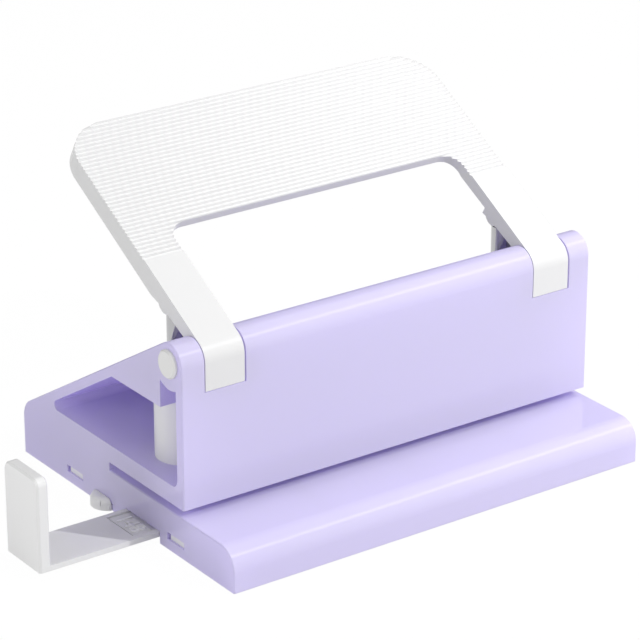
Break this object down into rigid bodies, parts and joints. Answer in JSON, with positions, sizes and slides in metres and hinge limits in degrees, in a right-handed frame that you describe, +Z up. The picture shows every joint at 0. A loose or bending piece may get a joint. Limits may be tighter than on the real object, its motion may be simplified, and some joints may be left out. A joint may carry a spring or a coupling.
{
  "type": "two-hole punch",
  "caption": "Desk punch with a lavender body, a white ribbed lever handle over steel pins, a sliding paper guide and a hinged chip tray that clicks shut.",
  "frame": {"origin": "on the table, midway between the axes of the two punch pins", "axes": "+X along the body away from the paper guide, +Y towards the rear edge, +Z up"},
  "size_m": [0.1278, 0.0774, 0.072],
  "materials": {
    "body_plastic": "satin moulded lavender",
    "handle_plastic": "satin moulded white",
    "tray_plastic": "satin moulded white",
    "guide_plastic": "satin moulded white",
    "pin_plastic": "satin moulded white",
    "sleeve_plastic": "matt moulded white",
    "punch_steel": "ground and plated",
    "clip_steel": "blackened spring steel",
    "washer_steel": "zinc plated",
    "spring_steel": "drawn wire",
    "bush_steel": "turned and ground"
  },
  "bodies": {
    "housing": {"body_housing": "body_plastic", "pivot_pin_left": "pin_plastic", "spring_sleeve_left": "sleeve_plastic", "die_bush_left": "bush_steel", "punch_spring_left": "spring_steel", "pivot_pin_right": "pin_plastic", "spring_sleeve_right": "sleeve_plastic", "die_bush_right": "bush_steel", "punch_spring_right": "spring_steel"},
    "lever": {"handle": "handle_plastic"},
    "punch_left": {"punch_pin_left": "punch_steel", "retaining_clip_left": "clip_steel", "spring_washer_left": "washer_steel"},
    "punch_right": {"punch_pin_right": "punch_steel", "retaining_clip_right": "clip_steel", "spring_washer_right": "washer_steel"},
    "tray": {"chip_tray": "tray_plastic"},
    "guide": {"paper_guide": "guide_plastic"}
  },
  "joints": [
    {"name": "lever_hinge", "type": "hinge", "parent": "housing", "child": "lever", "pos_m": [0, -0.0108, 0.04], "axis": [-1, 0, 0], "range_deg": [0, 30], "stiffness_Nm_per_rad": 0.35, "springref_deg": -28.07},
    {"name": "punch_slide_left", "type": "slide", "parent": "housing", "child": "punch_left", "axis": [0, 0, -1], "range_m": [0, 0.006], "deforming": ["punch_spring_left"]},
    {"name": "punch_slide_right", "type": "slide", "parent": "housing", "child": "punch_right", "axis": [0, 0, -1], "range_m": [0, 0.006], "deforming": ["punch_spring_right"]},
    {"name": "tray_hinge", "type": "hinge", "parent": "housing", "child": "tray", "pos_m": [0.0472, 0, 0.0011], "axis": [0, -1, 0], "range_deg": [0, 60]},
    {"name": "guide_slide", "type": "slide", "parent": "tray", "child": "guide", "axis": [-1, 0, 0], "range_m": [-0.0085, 0.074]}
  ],
  "couplings": [
    {"joint": "punch_slide_left", "follows": "lever_hinge", "m_per_rad": 0.01133},
    {"joint": "punch_slide_right", "follows": "lever_hinge", "m_per_rad": 0.01133}
  ]
}
